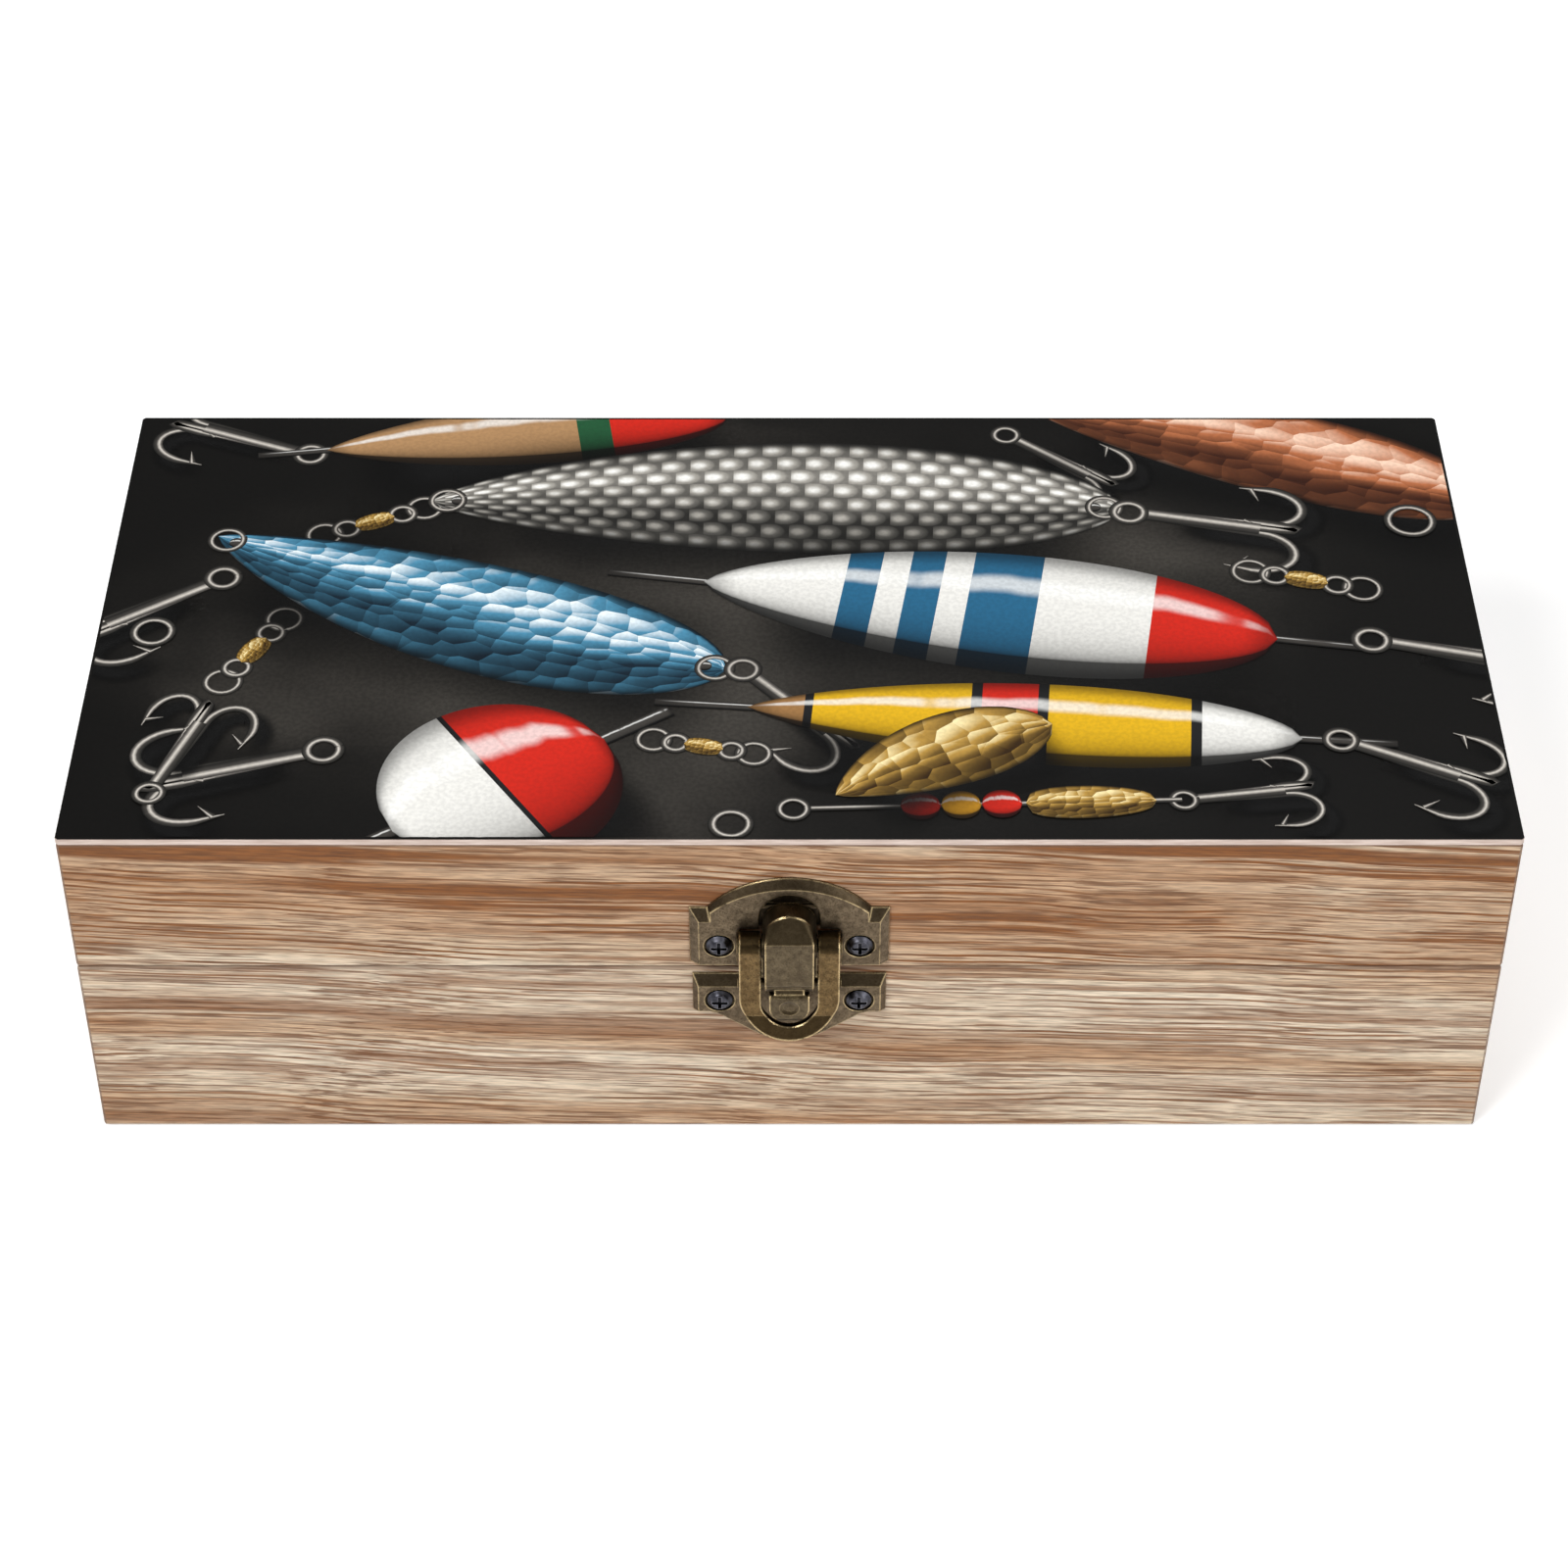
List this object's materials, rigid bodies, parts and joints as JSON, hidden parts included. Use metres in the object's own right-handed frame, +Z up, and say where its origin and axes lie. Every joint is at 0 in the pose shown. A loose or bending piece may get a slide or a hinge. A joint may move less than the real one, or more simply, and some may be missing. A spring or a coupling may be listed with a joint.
{
  "type": "hinged wooden display box with toggle latch",
  "caption": "Shallow hinged wooden keepsake box for fishing lures, with a dark printed lid sheet, butt hinges at the back and an antique bronze toggle latch.",
  "frame": {"origin": "centre of the base's underside, on the surface the box stands on", "axes": "+X to the right along the length, +Y from the latch to the hinges, +Z up; the latch faces -Y"},
  "size_m": [0.2, 0.1054, 0.057],
  "materials": {
    "pale_wood": "bare pale paulownia boards with brown straight grain",
    "inner_wood": "bare pale board",
    "printed_sheet": "thin pale board with a satin dark print",
    "plate_bronze": "antique bronze plating, rubbed at the edges",
    "lever_bronze": "antique bronze plating, rubbed at the edges",
    "hinge_bronze": "antique bronze plating",
    "pin_steel": "bronze-coloured steel pin",
    "dark_screws": "dark grey cross-head screws"
  },
  "bodies": {
    "base": {"base_front": "pale_wood", "base_back": "pale_wood", "base_left": "pale_wood", "base_right": "pale_wood", "base_bottom": "inner_wood", "hinge_left_base_leaf": "hinge_bronze", "hinge_left_pin": "pin_steel", "hinge_right_base_leaf": "hinge_bronze", "hinge_right_pin": "pin_steel", "hinge_base_screws": "dark_screws", "latch_base_plate": "plate_bronze", "latch_base_screws": "dark_screws", "latch_lever_pin": "pin_steel"},
    "lid": {"lid_front": "pale_wood", "lid_back": "pale_wood", "lid_left": "pale_wood", "lid_right": "pale_wood", "lid_board": "inner_wood", "lid_print_sheet": "printed_sheet", "hinge_left_lid_leaf": "hinge_bronze", "hinge_right_lid_leaf": "hinge_bronze", "hinge_lid_screws": "dark_screws", "latch_catch_plate": "plate_bronze", "latch_catch_screws": "dark_screws"},
    "lever": {"latch_lever": "lever_bronze", "latch_link_pin": "pin_steel"},
    "link": {"latch_link": "lever_bronze"}
  },
  "joints": [
    {"name": "lid_hinge", "type": "hinge", "parent": "base", "child": "lid", "pos_m": [0, 0.0499, 0.0325], "axis": [-1, 0, 0], "range_deg": [0, 180]},
    {"name": "lever_pivot", "type": "hinge", "parent": "base", "child": "lever", "pos_m": [0, -0.0505, 0.0393], "axis": [-1, 0, 0], "range_deg": [0, 110]},
    {"name": "link_pivot", "type": "hinge", "parent": "lever", "child": "link", "pos_m": [0, -0.0511, 0.0328], "axis": [-1, 0, 0], "range_deg": [-110, 0]}
  ],
  "couplings": [
    {"joint": "link_pivot", "follows": "lever_pivot", "ratio": -1}
  ]
}
